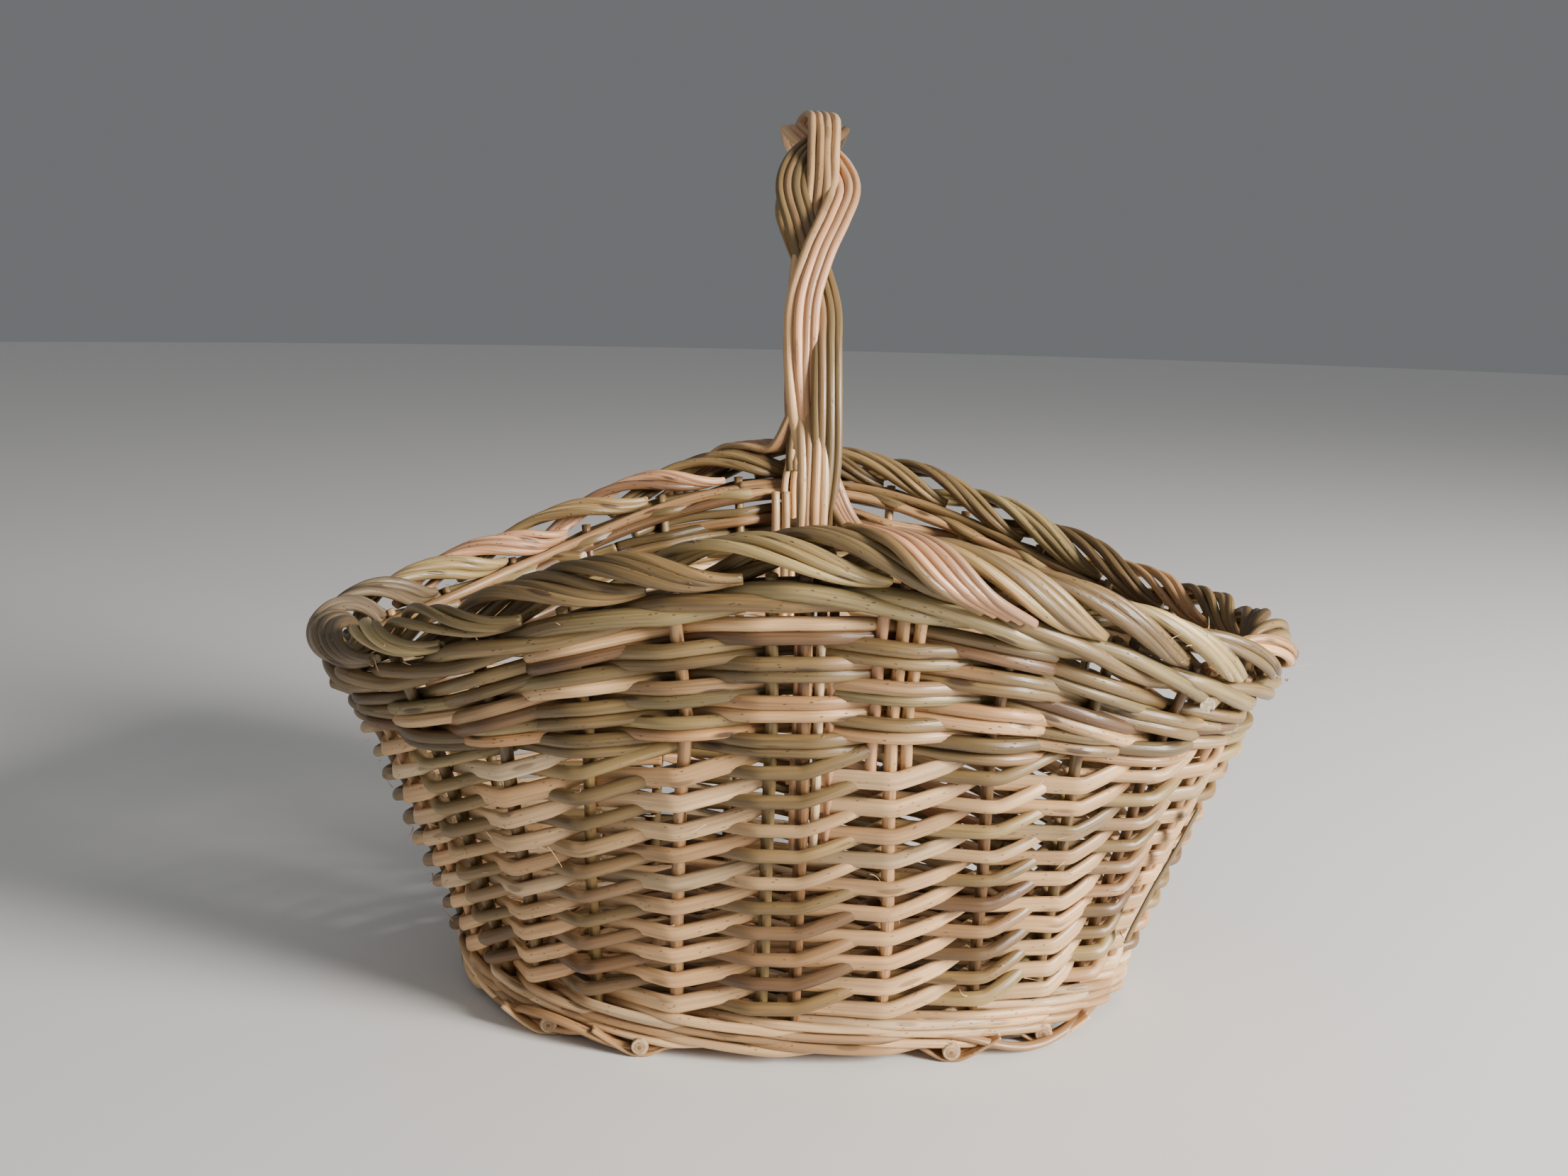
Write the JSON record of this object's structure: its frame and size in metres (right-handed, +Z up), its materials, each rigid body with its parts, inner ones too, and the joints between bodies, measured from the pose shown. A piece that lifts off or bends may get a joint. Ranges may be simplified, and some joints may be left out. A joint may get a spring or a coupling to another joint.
{
  "type": "willow handle basket",
  "caption": "Oval woven willow basket with flared sides, an arched rolled rim and a fixed plaited handle across the middle.",
  "frame": {"origin": "on the floor under the middle of the oval base", "axes": "+X along the basket's length, +Y across it towards the back, +Z up; the handle's arch stands in the YZ plane"},
  "size_m": [0.3984, 0.2686, 0.3566],
  "materials": {
    "stick_wood": "peeled willow stick, pinkish white end grain, satin",
    "base_willow": "thin peeled willow rods, satin",
    "split_skein": "shaved flat willow skein, satin",
    "upsett_willow": "thin light peeled willow rods, satin",
    "stake_willow": "round olive brown willow rods, satin",
    "siding_willow": "light split rods and round olive to brown rods, satin",
    "slew_willow": "round olive, brown and cream willow rods, satin",
    "border_willow": "olive brown willow rods, weathered grey at one end, satin",
    "handle_willow": "pinkish buff peeled willow rods with some olive, satin"
  },
  "bodies": {
    "root": {"base_cross_stick_1": "stick_wood", "base_cross_stick_2": "stick_wood", "base_cross_stick_3": "stick_wood", "base_cross_stick_4": "stick_wood", "base_cross_stick_5": "stick_wood", "base_cross_stick_6": "stick_wood", "base_long_stick_1": "stick_wood", "base_long_stick_2": "stick_wood", "base_long_stick_3": "stick_wood", "base_mat_inner": "base_willow", "base_mat_outer": "base_willow", "base_skeins_back": "split_skein", "base_skeins_front": "split_skein", "border_back": "border_willow", "border_front": "border_willow", "border_left_end": "border_willow", "border_right_end": "border_willow", "handle_leg_rods_back": "handle_willow", "handle_leg_rods_front": "handle_willow", "handle_strand_1": "handle_willow", "handle_strand_2": "handle_willow", "handle_strand_3": "handle_willow", "handle_tail_back": "handle_willow", "handle_tail_front": "handle_willow", "loose_skein": "split_skein", "siding_round_01": "siding_willow", "siding_round_02": "siding_willow", "siding_round_03": "siding_willow", "siding_round_04": "siding_willow", "siding_round_05": "siding_willow", "siding_round_06": "siding_willow", "siding_round_07": "siding_willow", "siding_round_08": "siding_willow", "siding_round_09": "siding_willow", "siding_round_10": "siding_willow", "slew_row_1": "slew_willow", "slew_row_2": "slew_willow", "slew_row_3": "slew_willow", "slew_row_4": "slew_willow", "slew_row_5": "slew_willow", "slew_row_6": "slew_willow", "slew_row_7": "slew_willow", "stakes_back": "stake_willow", "stakes_front": "stake_willow", "stakes_left_end": "stake_willow", "stakes_right_end": "stake_willow", "top_wale_row": "slew_willow", "upsett_row_1": "upsett_willow", "upsett_row_2": "upsett_willow", "upsett_row_3": "upsett_willow"}
  },
  "joints": []
}
